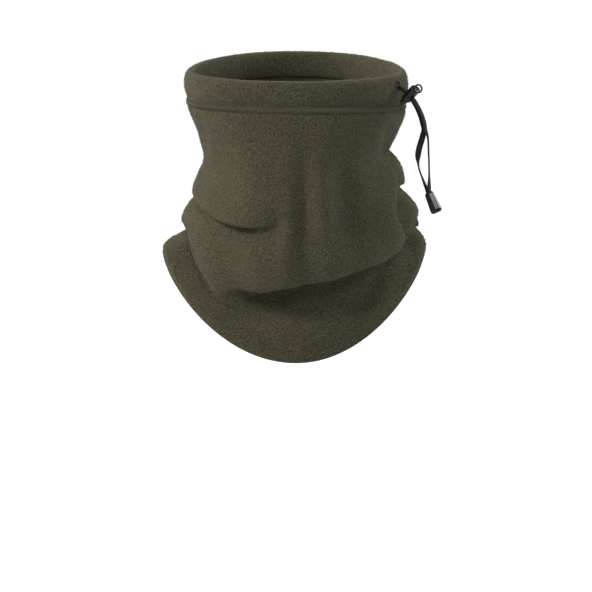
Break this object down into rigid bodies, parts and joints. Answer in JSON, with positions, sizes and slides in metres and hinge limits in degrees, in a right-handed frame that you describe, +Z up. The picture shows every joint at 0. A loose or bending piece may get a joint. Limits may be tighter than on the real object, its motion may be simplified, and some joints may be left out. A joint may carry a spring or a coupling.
{
  "type": "neck gaiter",
  "caption": "Fleece neck gaiter with a drawcord casing round the face opening, a sprung cord lock and a cord end on the cord's tails, and a bib over the chest.",
  "frame": {"origin": "centre of the face opening, level with the top of the casing at the sides", "axes": "+Z up, -Y towards the wearer's front, +X towards the wearer's left"},
  "size_m": [0.2093, 0.1867, 0.2135],
  "materials": {
    "fleece": "brushed olive brown polyester fleece, matt",
    "fleece_thread": "polyester sewing thread, a shade darker than the fleece",
    "elastic_cord": "flat woven black elastic, matt",
    "black_plastic": "moulded black acetal, glossy",
    "spring_steel": "bright drawn wire"
  },
  "bodies": {
    "gaiter": {"fleece_body": "fleece", "drawcord_casing": "fleece", "hem_turn_up": "fleece", "hem_thread": "fleece_thread", "needle_thread_upper": "fleece_thread", "needle_thread_lower": "fleece_thread", "looper_thread": "fleece_thread", "side_seam_thread": "fleece_thread", "slit_buttonhole": "fleece_thread", "drawcord_loop": "elastic_cord"},
    "tassel": {"cord_tail_inner": "elastic_cord", "cord_tail_outer": "elastic_cord", "cord_end_shell": "black_plastic", "cord_end_knot": "elastic_cord"},
    "cord_lock": {"cord_lock_barrel": "black_plastic", "cord_lock_spring": "spring_steel"},
    "plunger": {"cord_lock_plunger": "black_plastic"}
  },
  "joints": [
    {"name": "tassel_swing", "type": "hinge", "parent": "gaiter", "child": "tassel", "pos_m": [0.07628, -0.05062, -0.008], "axis": [-0.5082, -0.8613, 0], "range_deg": [0, 60]},
    {"name": "lock_travel", "type": "hinge", "parent": "tassel", "child": "cord_lock", "pos_m": [0.05776, -0.0397, -0.0465], "axis": [0.5082, 0.8613, 0], "range_deg": [0, 30]},
    {"name": "plunger_press", "type": "slide", "parent": "cord_lock", "child": "plunger", "axis": [0.6015, -0.3549, 0.7157], "range_m": [0, 0.0025], "stiffness_N_per_m": 600, "springref_m": -0.003, "deforming": ["cord_lock_spring"]}
  ]
}
